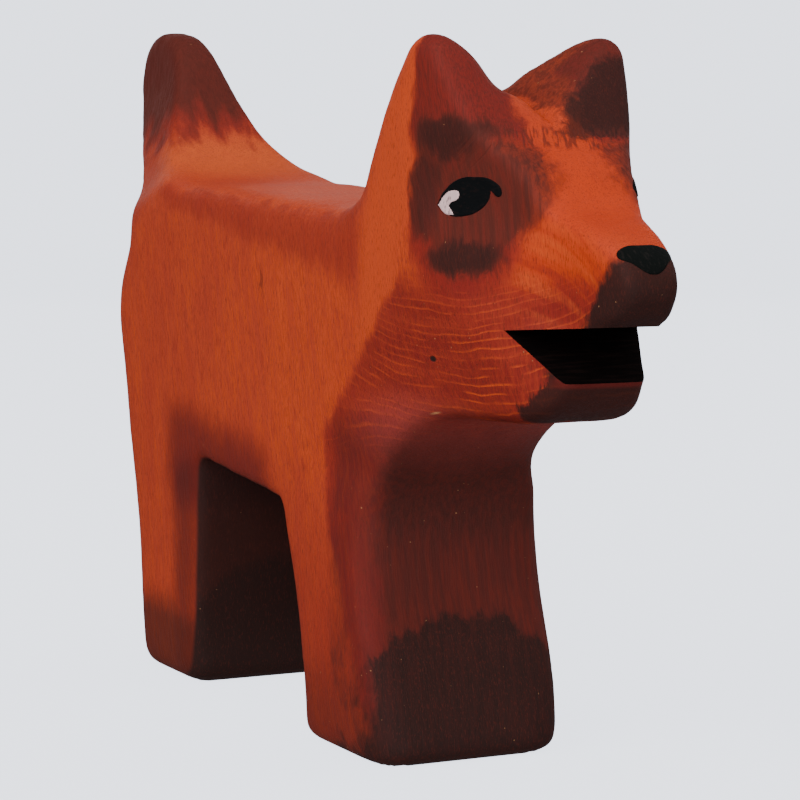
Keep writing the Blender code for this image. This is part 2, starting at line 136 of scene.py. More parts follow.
class Finish:
    """One material. Places are in millimetres in the object's own frame."""

    def __init__(self, name):
        self.material = bpy.data.materials.new(name)
        self.material.use_nodes = True
        self.tree = self.material.node_tree
        self.tree.nodes.clear()
        metres = self.node("ShaderNodeTexCoord", {}, {}, "Object")
        self.place = self.node(
            "ShaderNodeVectorMath", {"operation": "SCALE"}, {0: metres, "Scale": 1 / MM})

    def node(self, kind, settings, inputs, output=0):
        """Adds a node: first its settings, then the values or links of its sockets."""
        node = self.tree.nodes.new(kind)
        for key, value in settings.items():
            setattr(node, key, value)
        for key, value in inputs.items():
            if isinstance(value, Value):
                self.tree.links.new(value.socket, node.inputs[key])
            else:
                node.inputs[key].default_value = value
        return Value(self, node.outputs[output])

    def sum(self, operation, *values):
        return self.node("ShaderNodeMath", {"operation": operation}, dict(enumerate(values)))

    def least(self, first, *others):
        for other in others:
            first = self.sum("MINIMUM", first, other)
        return first

    def most(self, first, *others):
        for other in others:
            first = self.sum("MAXIMUM", first, other)
        return first

    def split(self, vector):
        return [self.node("ShaderNodeSeparateXYZ", {}, {0: vector}, axis) for axis in range(3)]

    def join(self, x, y, z):
        return self.node("ShaderNodeCombineXYZ", {}, {0: x, 1: y, 2: z})

    def shift(self, vector, by):
        return self.node("ShaderNodeVectorMath", {"operation": "ADD"}, {0: vector, 1: by})

    def stretch(self, vector, by):
        return self.node("ShaderNodeVectorMath", {"operation": "MULTIPLY"}, {0: vector, 1: by})

    def fade(self, value, low, high, start=0.0, end=1.0):
        """Goes smoothly from start to end as the value goes from low to high."""
        ends = {"Value": value, "From Min": low, "From Max": high, "To Min": start, "To Max": end}
        return self.node("ShaderNodeMapRange", {"interpolation_type": "SMOOTHSTEP"}, ends)

    def within(self, value, rise, fall):
        """1 between a rise and a fall, each given as where it is 0 and where it is 1."""
        return self.fade(value, *rise) * self.fade(value, *fall)

    def clouds(self, vector, detail, roughness, coloured=False):
        """Cloudy noise one unit wide. Coloured gives three at once, for moving a place about."""
        inputs = {"Vector": vector, "Scale": 1.0, "Detail": detail, "Roughness": roughness}
        return self.node("ShaderNodeTexNoise", {}, inputs, int(coloured))

    def mottle(self, cells, detail, roughness):
        """Clouds over the object, with this many cells to a millimetre along each axis."""
        return self.clouds(self.stretch(self.place, cells), detail, roughness)

    def strayed(self, vector, cells, reach):
        """The place moved about by up to half this reach, in clouds of these cells."""
        drift = self.clouds(self.stretch(vector, cells), 2, 0.6, coloured=True)
        return self.shift(vector, self.stretch(self.shift(drift, (-0.5, -0.5, -0.5)), reach))

    def spot(self, vector, centre, radii, soft=0.3, turn=0.0):
        """1 inside an ellipsoid turned about X by these degrees, and 0 outside it."""
        turned = (math.radians(turn), 0, 0)
        inputs = {"Vector": vector, "Location": centre, "Rotation": turned, "Scale": radii}
        inside = self.node("ShaderNodeMapping", {"vector_type": "TEXTURE"}, inputs)
        reach = self.node("ShaderNodeVectorMath", {"operation": "LENGTH"}, {0: inside}, "Value")
        return self.fade(reach, 1 - soft, 1 + soft, 1.0, 0.0)

    def mix(self, share, under, over):
        """Lays one colour over another."""
        colours = {0: share, 6: self.opaque(under), 7: self.opaque(over)}
        return self.node("ShaderNodeMix", {"data_type": "RGBA"}, colours, 2)

    @staticmethod
    def opaque(colour):
        return colour if isinstance(colour, Value) else (*colour, 1.0)

    def relief(self, height, distance, strength):
        inputs = {"Height": height, "Distance": distance, "Strength": strength}
        return self.node("ShaderNodeBump", {}, inputs)

    def shade(self, **inputs):
        """Ends the tree in one Principled shader and gives the material."""
        named = {key.replace("_", " "): value for key, value in inputs.items()}
        for key, value in named.items():
            if isinstance(value, tuple):
                named[key] = self.opaque(value)
        shader = self.node("ShaderNodeBsdfPrincipled", {}, named)
        end = self.tree.nodes.new("ShaderNodeOutputMaterial")
        self.tree.links.new(shader.socket, end.inputs["Surface"])
        return self.material


# The wood's finish


def fibres(finish):
    """Hair-fine, fine and broad streaks along the grain. All run from 0 to 1."""
    x, y, z = finish.split(finish.place)
    lean_back = 0.22
    across = y - z * lean_back

    def streaks(width, length, low, high):
        along = finish.join(x * (1 / width), across * (1 / width), z * (1 / length))
        return finish.fade(finish.clouds(along, 3, 0.6), low, high)

    hair = streaks(0.17, 1.6, 0.34, 0.66)
    fine = streaks(0.45, 7, 0.32, 0.68)
    broad = streaks(2.3, 20, 0.32, 0.68)
    return hair, fine, broad


def growth_rings(finish):
    """Arcs where the knife cut the growth rings on the cheek: pale lines, and paler bands."""
    x, y, z = finish.split(finish.place)
    forward = y + 43
    sag = finish.least(finish.most((z - 37.5) * 0.0014, -0.003), 0.0125)
    drift = finish.mottle((0.07, 0.06, 0.12), 2, 0.5)
    wobble = finish.mottle((0.5, 0.35, 0.6), 2, 0.5)
    level = z - sag * forward * forward + drift * 3.2 + wobble * 0.38
    spacing = 0.8
    share = finish.sum("FRACT", level * (1 / spacing))
    line = finish.within(share, (0.0, 0.07), (0.36, 0.08))
    along = finish.join(x * 0.05, y * 0.05, level * 0.55)
    band = finish.fade(finish.clouds(along, 2, 0.6), 0.4, 0.65)
    gaps = finish.mottle((0.28, 0.14, 0.6), 2, 0.6)
    return line * finish.fade(gaps, 0.36, 0.62), band


class WoodStain(Finish):
    """The finish of the block: coats of stain, laid one over another on the grain.

    The edge of a patch is drawn on places that stray along the grain, as the stain does. Bled moves
    them in wide waves, and soaked frays them into fibres as well. Twin is the same on both sides.
    """

    def __init__(self, colours):
        super().__init__("stained_wood")
        self.colours = colours
        self.body = colours.russet
        self.x, self.y, self.z = self.split(self.place)
        self.hair, self.fine, self.broad = fibres(self)
        self.bled = self.strayed(self.place, (0.30, 0.30, 0.2), (3.0, 3.0, 2.6))
        frayed = self.strayed(self.bled, (1.6, 1.6, 0.55), (1.3, 1.3, 1.9))
        self.soaked = self.strayed(frayed, (5.5, 5.5, 1.6), (0.5, 0.5, 1.0))
        _, self.by, self.bz = self.split(self.bled)
        self.fx, self.fy, self.fz = self.split(self.soaked)
        self.side = abs(self.fx)
        self.twin = self.join(self.side, self.fy, self.fz)

    def lay(self, share, colour):
        """Lays one more coat over what is there."""
        self.body = self.mix(share, self.body, colour)

    def ground(self):
        """Orange and red in streaks and blotches over the whole block."""
        blotches = self.fade(self.mottle((0.12, 0.12, 0.07), 5, 0.66), 0.32, 0.68)
        streaks = self.broad * 0.34 + self.fine * 0.24 + self.hair * 0.18 + blotches * 0.46
        self.lay(streaks, self.colours.honey)
        self.lay(self.fade(self.hair, 0.5, 0.0) * (0.2 + 0.3 * self.broad), self.colours.madder)

    def pale_places(self):
        """Paler on the side of the neck and the forehead, and where the tail springs."""
        pale = self.most(
            self.spot(self.twin, (12.5, -33.5, 62), (2.5, 4.6, 17), 0.35, 22) * 0.9,
            self.spot(self.soaked, (1, -55, 65), (8, 10, 5), 0.4) * 0.5,
            self.spot(self.twin, (4, -60, 56), (4, 4.5, 2.5), 0.4) * 0.5,
        )
        self.lay(pale, self.colours.honey)
        hot = self.most(
            self.spot(self.soaked, (1, -56, 63), (12, 13, 9), 0.4),
            self.spot(self.twin, (6, -58, 54), (8, 8, 5), 0.4),
        )
        self.lay(hot * 0.72, self.colours.ember)
        glow = self.spot(self.soaked, (0, 38.5, 66.4), (12, 8.5, 3.2), 0.6)
        self.lay(glow * (0.6 + 0.3 * self.fine), self.colours.amber)

    def trunk(self):
        """Redder under the edge of the back, on the rump and the legs, and smudged on the belly."""
        by, bz = self.by, self.bz
        under_back = self.fade(bz - by * 0.14 - 55.9, -1.8, 1.4) * self.fade(self.side, 10.4, 11.4)
        band = under_back * self.within(by, (-29, -23), (42, 32))
        low = self.fade(self.fz, 38, 12) * self.fade(self.fy, 4, -6)
        rump = self.fade(by, 36, 44) * self.within(bz, (56, 60), (68, 65))
        hind = self.fade(by, -10, 42)
        over_belly = self.fade(bz - by * 0.12, 35, 29) * self.fade(bz, 20, 26)
        smudge = over_belly * self.within(by, (-5, 3), (36, 28))
        redder = self.most(band * 0.52, low * 0.55, smudge * 0.75, rump * 0.4, hind * 0.16)
        self.lay(redder, self.colours.madder)
        self.lay(smudge * 0.32, self.colours.soot)

    def cheeks(self):
        """Deep red where the knife cut in front of the flank, part red stain and part painted shade
        on these faces turned from the light, with rings and a swirl in it.
        """
        x, y, z = self.x, self.y, self.z
        flank_end = -16.4 - self.most(z - 35.5, 0) * 1.08 - self.most(29 - z, 0) * 0.42
        cheek = self.fade(self.fy - flank_end, 0.9, -1.1) * self.fade(self.fz, 55.5, 50.5)
        # Red stain and painted shade together on the cut faces turned from the light.
        self.lay(cheek * (0.94 - 0.2 * self.fine), self.colours.madder)
        line, band = growth_rings(self)
        ringed = cheek * self.fade(self.fz, 33, 37)
        self.lay(ringed * band * 0.3, self.colours.russet)
        clear = self.spot(self.twin, (7, -50, 42.5), (6, 9, 5), 0.5)
        self.lay(ringed * line * (0.5 + clear * 0.5), self.colours.honey)
        bow = (y + 56) * (y + 56) * 0.03
        turn = self.clouds(self.join(x * 0.15, y * 0.08, (z - y * 0.42 + bow) * 0.8), 2, 0.5)
        swirl = self.spot(self.twin, (5, -57, 54), (6, 6.5, 4.2), 0.4)
        self.lay(swirl * self.fade(turn, 0.4, 0.7) * (0.2 + self.hair * 0.3), self.colours.amber)
        self.lay(swirl * self.fade(turn, 0.5, 0.35) * 0.4, self.colours.madder)

    def mask(self):
        """Red over the mask, and brown and soot round the eyes and on the ears."""
        fx, fy, fz, twin = self.fx, self.fy, self.fz, self.twin
        face = self.fade(fy + self.most(fz - 66, 0) * 0.14, -37.6, -38.9)
        red = face * self.most(
            self.spot(twin, (9, -45.4, 59.5), (12, 8.2, 8.5), 0.2) * 0.85,
            self.fade(fz, 65, 68) * self.fade(self.side, 3.0, 4.5) * 0.92,
        )
        self.lay(red, self.colours.madder)
        ear_front = face * self.fade(fz, 66, 69) * self.fade(fx, -3, -4.5)
        self.lay(ear_front * (0.65 - 0.5 * self.hair), self.colours.maroon)
        brown = face * self.most(
            self.spot(twin, (9, -46.2, 61.4), (11, 9.4, 5.9), 0.12),
            self.spot(twin, (9, -43.6, 67.0), (9, 4.6, 2.8), 0.2),
            self.spot(twin, (9, -45.8, 55.4), (8, 5.2, 2.3), 0.2),
        )
        self.lay(brown * (0.7 + 0.3 * self.fine), self.colours.maroon)

        # The left ear is brown in front, with a dark heart
        upward = (fx - 0.8) * 0.62 + (fz - 70.6) * 0.78
        left_ear = self.fade(upward, -0.5, 0.5) * self.fade(fx, 0.2, 0.9)
        left_ear = left_ear * self.fade(fz, 67.2, 68.2) * self.fade(fy, -29, -32)
        self.lay(left_ear * (0.6 + 0.3 * self.fine), self.colours.maroon)
        heart = self.fade(fx - fz + 68, -0.7, 0.9) * self.within(fz, (67.0, 68.0), (76.2, 74.8))
        blots = face * self.most(
            self.spot(twin, (9, -43.6, 67.3), (7, 3.6, 2.2), 0.35) * 0.7,
            self.spot(twin, (10, -40.5, 62.5), (5, 1.6, 4.5), 0.5) * 0.5,
            self.spot(twin, (9, -46.0, 55.3), (8, 4.6, 1.7), 0.35) * 0.8,
            heart * 0.85,
        )
        self.lay(blots, self.colours.soot)

    def tail(self):
        """Maroon on the tail, with tongues of orange in its ragged edge."""
        tongues = self.mottle((0.5, 0.17, 0.035), 3, 0.6)
        dip = self.bz + (tongues - 0.5) * 16 + (self.by - 50) * 0.32
        rear = self.fade(self.by, 20, 30)
        self.lay(self.fade(dip, 65.0, 69.5) * rear * 0.75, self.colours.madder)
        self.lay(self.fade(dip, 67.0, 74.0) * rear * (0.86 + 0.12 * self.fine), self.colours.maroon)

    def dark_ends(self):
        """Brown on the chest and the throat, soot on the muzzle, the chin and the feet, painted
        shade between the legs and painted light under the jaw.
        """
        fx, fy, fz, side = self.fx, self.fy, self.fz, self.side
        front = self.fade(fy, -17, -20)
        chest_top = self.fade(fz + self.most(-42 - fy, 0) * 0.15, 41.6, 39.6)
        chest = front * chest_top * self.within(fx, (-10.2, -7.4), (12.6, 11.4))
        deep = self.fade(fz, 39, 34)
        throat = front * self.fade(side, 13.5, 11) * self.fade(fz, 40, 34)
        toe_side = self.fade(fz, 14, 4) * self.fade(fy, 4, -2)
        heel = self.fade(fz, 12.5, 7.0) * self.fade(fy, 14, 20)
        thigh = self.within(fy, (18, 22), (33, 27)) * self.fade(fz, 31, 26)
        self.lay(thigh * 0.5, self.colours.madder)
        # Painted light: the brown thins towards the jaw, so the throat that the jaw shades reads
        # lighter.
        brown = (0.85 - 0.35 * self.fine) * (0.35 + 0.65 * deep)
        self.lay(chest * brown, self.colours.maroon)
        dusky = self.most(
            chest * deep * 0.3,
            throat * 0.42,
            throat * self.fade(fz, 24, 8) * 0.6,
            toe_side * 0.42,
            heel * 0.72,
            thigh * 0.45,
        )
        self.lay(dusky, self.colours.soot)
        # Painted light: a dull red spot lightens the throat where the jaw shades it.
        painted_light_under_jaw = self.spot(self.bled, (0, -33, 36.5), (14, 10, 4.5), 0.6)
        self.lay(painted_light_under_jaw * 0.4, self.colours.painted_light_rose)

        # The soot ends in a slant on the muzzle and the chin, and in scallops over the toes
        slant = self.by * 0.6 + fy * 0.4 + (fz - 49.1) * 0.7
        muzzle = self.fade(slant, -59.6, -60.9) * self.fade(fz, 44.5, 46.5)
        under = self.least(self.most(43.2 - fz, 0) * 1.3, 4) - self.fade(side, 6, 10) * 3.4
        chin = self.fade(fy - under, -55.0, -56.2) * self.within(fz, (36, 38), (44.6, 43.6))
        waves = self.clouds(self.join(self.x * 0.3, 0, 0), 3, 0.7)
        scallop = 15.7 - fx * fx * 0.036 + (waves - 0.5) * 5
        toes = front * self.fade(fz - scallop, 0.6, -0.6) * self.fade(side, 12.0, 10.6)
        # Painted shade: soot darkens the recess under the belly between the front and hind legs, a
        # little more below the scallop line of the toes.
        arch_shade_strength = 0.9 + self.fade(fz - scallop, 0.8, -0.8) * 0.08
        painted_shade_between_legs = self.fade(abs(self.x), 11.6, 11.2) * self.fade(fz, 31, 29)
        painted_shade_arch = painted_shade_between_legs * self.within(fy, (-12, -9), (29, 27))
        sooty = self.most(
            chest * self.fade(fz, 21, 27) * deep * 0.35,
            muzzle * 0.97,
            chin * 0.92,
            toes * (0.96 - 0.2 * self.fine),
            painted_shade_arch * arch_shade_strength,
        )
        self.lay(sooty, self.colours.soot)
        lip = self.within(self.z, (42.5, 43.0), (44.0, 43.5)) * self.fade(self.y, -55, -58)
        self.lay(lip * 0.5, self.colours.madder)

    def marks(self):
        """Torn grain on the brow, a pinhole, a nick and a check. Gives the two that dip."""
        stroke = self.x - self.z * 0.42
        height = self.z + 0.6 * (self.y + 48.6)
        comb = self.clouds(self.join(stroke * 2.6, height * 0.4, 0), 1, 0.5)
        ends = self.clouds(self.join(stroke * 0.35, 7, 0), 2, 0.6) * 2.4
        brow = self.fade(abs(height + ends - 68.2), 2.4, 1.2) * self.fade(self.y, -44, -46)
        torn = brow * self.fade(comb, 0.46, 0.6)
        self.lay(torn * 0.7, self.colours.maroon)
        pinhole = self.spot(self.place, (-9.8, -39.5, 44.8), (1, 0.5, 0.3), 0.3)
        self.lay(pinhole, self.colours.soot)
        nick = self.spot(self.place, (-7.4, -37.2, 39.0), (1.3, 1.25, 0.15), 0.3, -10)
        self.lay(nick * 0.8, self.colours.bare)
        check = self.spot(self.soaked, (-12, 0.6, 51.6), (1.2, 0.25, 1.6), 0.6, -8)
        self.lay(check * 0.6, self.colours.maroon)
        return torn, pinhole


def stained_wood(colours):
    wood = WoodStain(colours)
    wood.ground()
    wood.pale_places()
    wood.trunk()
    wood.cheeks()
    wood.mask()
    wood.tail()
    wood.dark_ends()
    torn, pinhole = wood.marks()
    pores = wood.mottle((7, 7, 1.6), 2, 0.6)
    wood.lay(wood.fade(pores, 0.53, 0.68) * 0.5, colours.maroon)
    dust = wood.mottle((3.1, 3.1, 3.1), 0, 0.5)
    wood.lay(wood.fade(dust, 0.87, 0.9) * 0.4, colours.bare)
    height = wood.fine * 0.3 + wood.hair * 0.25 + pores * 0.3 - torn * 1.2 - pinhole * 2.5
    bump = wood.relief(height, 0.1 * MM, 0.4)
    sheen = wood.fade(wood.fine, 0, 1, 0.46, 0.58)
    return wood.shade(
        Base_Color=wood.body, Roughness=sheen, Normal=bump, Specular_IOR_Level=0.16)


def mouth_stain_and_shade(colours):
    """The dark inside of the mouth: dark stain and painted shade, with the strokes of the saw."""
    finish = Finish("mouth_stain_and_shade")
    saw = finish.mottle((0.25, 3.0, 3.0), 3, 0.6)
    # Near black: dark stain, with the shade inside the cut painted in.
    stain_and_shade_black = (0.003, 0.002, 0.002)
    colour = finish.mix(finish.fade(saw, 0.45, 0.8) * 0.3, stain_and_shade_black, colours.soot)
    bump = finish.relief(saw, 0.15 * MM, 0.5)
    return finish.shade(Base_Color=colour, Roughness=0.8, Normal=bump, Specular_IOR_Level=0.08)


def brushed_paint(name, colour, thin, strokes, roughness):
    """A coat that shows the brush, and what is under it where it is thin."""
    finish = Finish(name)
    hairs = finish.mottle(strokes, 2, 0.6)
    worn = finish.fade(hairs, 0.56, 0.68)
    tone = finish.mix(worn * 0.6, colour, thin)
    bump = finish.relief(hairs, 0.05 * MM, 0.6)
    gloss = finish.fade(hairs, 0.3, 0.7, roughness, roughness + 0.15)
    return finish.shade(Base_Color=tone, Roughness=gloss, Normal=bump, Specular_IOR_Level=0.12)


# Meshes


def new_object(name, data):
    obj = bpy.data.objects.new(name, data)
    bpy.context.scene.collection.objects.link(obj)
    return obj


def opened(mesh):
    """A bmesh with this mesh in it."""
    bm = bmesh.new()
    bm.from_mesh(mesh)
    return bm


def mesh_from(bm, name):
    mesh = bpy.data.meshes.new(name)
    bm.to_mesh(mesh)
    bm.free()
    return mesh


def evaluated(obj):
    """The object's mesh with its modifiers worked in. The object goes."""
    bpy.context.view_layer.update()
    graph = bpy.context.evaluated_depsgraph_get()
    mesh = bpy.data.meshes.new_from_object(obj.evaluated_get(graph))
    bpy.data.objects.remove(obj)
    return mesh


def shaded_smooth(mesh):
    mesh.polygons.foreach_set("use_smooth", [True] * len(mesh.polygons))


def finished(obj, finishes, node):
    """Gives a piece its finishes, hangs it on the root and hides the imported node it stands in
    for.
    """
    for finish in finishes:
        obj.data.materials.append(finish)
    shaded_smooth(obj.data)
    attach(obj, "root")
    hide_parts(node)


def cleaned(bm, reach):
    """Closes up what is shorter than this, and takes out slivers that lie back to back."""
    bmesh.ops.remove_doubles(bm, verts=bm.verts, dist=reach)
    bmesh.ops.dissolve_degenerate(bm, edges=bm.edges, dist=reach)
    bmesh.ops.triangulate(bm, faces=bm.faces)
    alike = {}
    for face in bm.faces:
        alike.setdefault(frozenset(face.verts), []).append(face)
    folded = [face for faces in alike.values() if len(faces) > 1 for face in faces]
    bmesh.ops.delete(bm, geom=folded, context="FACES")


def raised(bm, faces):
    """Extrudes these faces into a closed shell, and gives the corners that are to be moved."""
    swept = bmesh.ops.extrude_face_region(bm, geom=faces, use_keep_orig=True)
    return [item for item in swept["geom"] if isinstance(item, bmesh.types.BMVert)]


def smoothed(bm, verts, factor):
    bmesh.ops.smooth_vert(
        bm, verts=verts, factor=factor, use_axis_x=True, use_axis_y=True, use_axis_z=True)


def off_line(point, a, b):
    """How far a point is from the straight line between two others."""
    span = b - a
    share = max(0, min(1, (point - a).dot(span) / max(span.length_squared, 1e-18)))
    return (point - a - span * share).length


# The block of wood


# The mouth's corners along Y and Z, from its depth round to the lower lip
MOUTH = ((-50.9, 48.2), (-77.1, 49.7), (-77.1, 43.2), (-57.5, 43.2))

# The wedge between the ears
NOTCH_MIDDLE = (0, -40.5, 70.4)
NOTCH_CLIMB = 16.5
NOTCH_AHEAD = 16
NOTCH_LENGTH = 34
NOTCH_HALF_WIDTH = 2.4
NOTCH_HEIGHT = 2.04

# How high above the table the feet are worn, from the sole up
WORN_LEVELS = (2, 4, 6, 9)


def prism(bm, profile, direction):
    """A closed prism on these corners, as long as the direction, all in millimetres."""
    face = bm.faces.new([bm.verts.new(corner * MM) for corner in profile])
    bmesh.ops.translate(bm, verts=raised(bm, [face]), vec=direction * MM)


def knife():
    """The two wedges that cut the mouth and the notch sharp again, each with its own finish."""
    bm = bmesh.new()
    prism(bm, [Vector((-20, y, z)) for y, z in MOUTH], Vector((40, 0, 0)))
    for face in bm.faces:
        face.material_index = 1
    climb = math.radians(NOTCH_CLIMB)
    along = Vector((0, math.cos(climb), math.sin(climb)))
    up = Vector((0, -math.sin(climb), math.cos(climb))) * NOTCH_HEIGHT
    half = Vector((NOTCH_HALF_WIDTH, 0, 0))
    root = Vector(NOTCH_MIDDLE) - along * NOTCH_AHEAD
    prism(bm, [root, root + half + up, root - half + up], along * NOTCH_LENGTH)
    bmesh.ops.recalc_face_normals(bm, faces=bm.faces)
    return new_object("knife", mesh_from(bm, "knife"))


def from_mouth(point):
    """How far in millimetres a point is from the outline of the mouth, seen from the side."""
    corners = [Vector(corner) for corner in MOUTH]
    place = Vector(point.yz) / MM
    return min(off_line(place, a, b) for a, b in zip(corners, corners[1:] + corners[:1]))


def fill_mouth(bm):
    """Joins the lips with a plug, so that the sanding runs across the mouth until it is cut."""
    back_of_mouth = -50 * MM
    touching = 0.1
    lips = [v.co for v in bm.verts if v.co.y < back_of_mouth and from_mouth(v.co) < touching]
    found = bmesh.ops.convex_hull(bm, input=[bm.verts.new(point) for point in lips])
    unused = set(found["geom_interior"] + found["geom_unused"])
    spare = [item for item in unused if isinstance(item, bmesh.types.BMVert)]
    bmesh.ops.delete(bm, geom=spare, context="VERTS")


def sanded(bm, rounds):
    """Smooths the surface. Each round in is followed by a longer one out, so nothing shrinks."""
    for _ in range(rounds):
        smoothed(bm, bm.verts, 0.5)
        smoothed(bm, bm.verts, -0.53)


def worn_feet(bm, rounds):
    """Rounds the corners of the feet further, where they rub on the table."""
    for level in WORN_LEVELS:
        low = [vertex for vertex in bm.verts if vertex.co.z < level * MM]
        for _ in range(rounds):
            smoothed(bm, low, 0.5)


def uneven(bm, height):
    """Lets the surface swell and dip as sanding by hand does, and keeps the soles flat."""
    flat_below = 0.12 * MM
    still_below = 0.4 * MM
    full_after = 4 * MM
    bm.normal_update()
    for vertex in bm.verts:
        above = vertex.co.z - still_below
        if above > 0:
            place = vertex.co / MM
            swell = noise.noise(place * 0.11) + 0.35 * noise.noise(place * 0.4)
            vertex.co += vertex.normal * height * swell * min(1, above / full_after)
    for vertex in bm.verts:
        if vertex.co.z < flat_below:
            vertex.co.z = 0


def wood_block(sizes):
    """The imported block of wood, resampled finely and sanded."""
    bm = opened(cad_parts["carved_body"].data)
    bmesh.ops.remove_doubles(bm, verts=bm.verts, dist=0.002 * MM)
    fill_mouth(bm)
    block = new_object("dog", mesh_from(bm, "dog"))
    remesh = block.modifiers.new("grain", "REMESH")
    remesh.mode = "VOXEL"
    remesh.voxel_size = sizes.grain
    bm = opened(evaluated(block))
    sanded(bm, sizes.sanding)
    worn_feet(bm, rounds=6)
    uneven(bm, sizes.unevenness)
    return mesh_from(bm, "dog")


# The coats of paint


SIDES = ((-1, "right"), (1, "left"))
EYE_MIDDLE = (-46.3, 61.4)
LEFT_EYE_LEAD = 4.1
NOSE_MIDDLE = (0, -65.9, 55.8)
NOSE_TILT = 38

# The knots of each drawing, from its own middle, and whether the outline turns sharply there
EYE = (
    (4.1, -0.9, True), (3.4, 0.4, False), (1.5, 1.7, False), (-0.4, 1.9, False), (-2.6, 1.5, False),
    (-3.6, 0.3, False), (-3.3, -0.1, False), (-2.3, 0.5, True), (-2.0, -0.5, False),
    (-0.9, -1.5, False), (0.7, -2.0, False), (2.6, -1.9, False),
)
HIGHLIGHT = (
    (4.0, -0.9, True), (3.2, 0.2, False), (2.3, 0.6, False), (1.3, 0.3, False), (1.5, -0.3, False),
    (2.5, -0.9, False), (2.2, -1.4, False), (1.8, -1.9, True), (3.0, -1.8, False),
)
NOSE = (
    (0, 1.8, False), (2.0, 1.6, False), (2.9, 0.8, False), (2.0, -0.6, False), (0, -1.9, False),
    (-2.0, -0.6, False), (-2.9, 0.8, False), (-2.0, 1.6, False),
)


def beside_head(side):
    """Where an eye is drawn: its X and Y run along Y and Z, and it looks in at that side."""
    y, z = EYE_MIDDLE
    if side > 0:
        y -= LEFT_EYE_LEAD
    away = 20
    turn = Matrix(((0, 0, side), (1, 0, 0), (0, 1, 0))).to_4x4()
    return Matrix.Translation(Vector((side * away, y, z)) * MM) @ turn


def before_nose():
    """Where the nose is drawn: square to the slope at the tip of the muzzle."""
    tilt = math.radians(NOSE_TILT)
    up = Vector((0, math.sin(tilt), math.cos(tilt)))
    out = Vector((0, -math.cos(tilt), math.sin(tilt)))
    away = 10
    turn = Matrix((Vector((1, 0, 0)), up, out)).transposed().to_4x4()
    return Matrix.Translation(Vector(NOSE_MIDDLE) * MM + out * away * MM) @ turn


def drawn(points):
    """A smooth closed outline as a flat filled mesh, cut into small squares."""
    curve = bpy.data.curves.new("outline", "CURVE")
    curve.dimensions = "2D"
    curve.fill_mode = "BOTH"
    curve.resolution_u = 12
    spline = curve.splines.new("BEZIER")
    spline.bezier_points.add(len(points) - 1)
    for knot, (u, v, sharp) in zip(spline.bezier_points, points):
        knot.co = (u * MM, v * MM, 0)
        knot.handle_left_type = knot.handle_right_type = "VECTOR" if sharp else "AUTO"
    spline.use_cyclic_u = True
    bm = opened(evaluated(new_object("outline", curve)))
    bmesh.ops.remove_doubles(bm, verts=bm.verts, dist=0.004 * MM)
    square = 0.2
    for axis in (0, 1):
        low = min(point[axis] for point in points)
        high = max(point[axis] for point in points)
        across = Vector((1 - axis, axis, 0))
        for step in range(1, math.ceil((high - low) / square)):
            geom = bm.verts[:] + bm.edges[:] + bm.faces[:]
            cut = across * (low + step * square) * MM
            bmesh.ops.bisect_plane(bm, geom=geom, plane_co=cut, plane_no=across)
    cleaned(bm, 0.015 * MM)
    return bm


def rim_distance(bm):
    """How far each vertex is from the rim of a flat mesh."""
    rim = [tuple(v.co.copy() for v in edge.verts) for edge in bm.edges if edge.is_boundary]
    return {vertex: min(off_line(vertex.co, a, b) for a, b in rim) for vertex in bm.verts}


def coat(name, points, place, thickness, inward):
    """A coat of paint: the drawing dropped straight onto the wood, rounded off at its rim.

    It is let into the wood by this much. What runs past the wood's edge bends round it.
    """
    bm = opened(bpy.data.objects["dog_body"].data)
    wood = BVHTree.FromBMesh(bm)
    bm.free()
    round_off = 0.22 * MM
    behind_edge = 15 * MM
    towards = (place.to_3x3() @ Vector((0, 0, -1))).normalized()
    bm = drawn(points)
    far = rim_distance(bm)
    for vertex in bm.verts:
        start = place @ vertex.co
        hit, normal, _, _ = wood.ray_cast(start, towards)
        if hit is None:
            hit, normal, _, _ = wood.find_nearest(start + towards * behind_edge)
        rise = min(far[vertex] / round_off, 1)
        height = thickness * math.sqrt(1 - (1 - rise) ** 2)
        vertex.co = hit + normal * height
    top = bm.faces[:]
    bmesh.ops.recalc_face_normals(bm, faces=top)
    if sum(face.normal.dot(towards) for face in top) > 0:
        bmesh.ops.reverse_faces(bm, faces=top)
    for vertex in raised(bm, top):
        hit, normal, _, _ = wood.find_nearest(vertex.co)
        vertex.co = hit - normal * inward
    bmesh.ops.recalc_face_normals(bm, faces=bm.faces)
    return new_object(name, mesh_from(bm, name))


# The studio


# The floor in metres
FLOOR_RADIUS = 1.6
FLOOR_BEND = 0.9
WALL_TOP = 3

# What the lamps look at in millimetres, and the colour of most of them
DOG_MIDDLE = (0, 0, 40)
SOFT_LIGHT = (1, 0.98, 0.98)

# The camera in degrees and millimetres, and the reach of its lens in pixels of the frame
CAMERA_BEARING = (-25.6, 4.6)
CAMERA_ROLL = -0.12
CAMERA_AIM = (0, -11.22, 38.2)
CAMERA_DISTANCE = 293.5
CAMERA_REACH = 2575
FRAME_WIDTH = 800
SENSOR_WIDTH = 36


def bearing(azimuth, elevation):
    """The way out from the dog, in degrees round it from its face and above the table."""
    a, e = math.radians(azimuth), math.radians(elevation)
    return Vector((math.sin(a) * math.cos(e), -math.cos(a) * math.cos(e), math.sin(e)))


def softbox(name, direction, distance, size, power, colour=SOFT_LIGHT, in_gloss=False):
    """A rectangular light that looks at the dog from this bearing. Lengths are in metres."""
    back = bearing(*direction)
    light = bpy.data.lights.new(name, "AREA")
    light.shape = "RECTANGLE"
    light.size, light.size_y = size
    light.energy = power
    light.color = colour
    lamp = new_object(name, light)
    lamp.location = Vector(DOG_MIDDLE) * MM + back * distance
    lamp.rotation_euler = back.to_track_quat("Z", "Y").to_euler()
    lamp.visible_camera = False
    lamp.visible_glossy = in_gloss


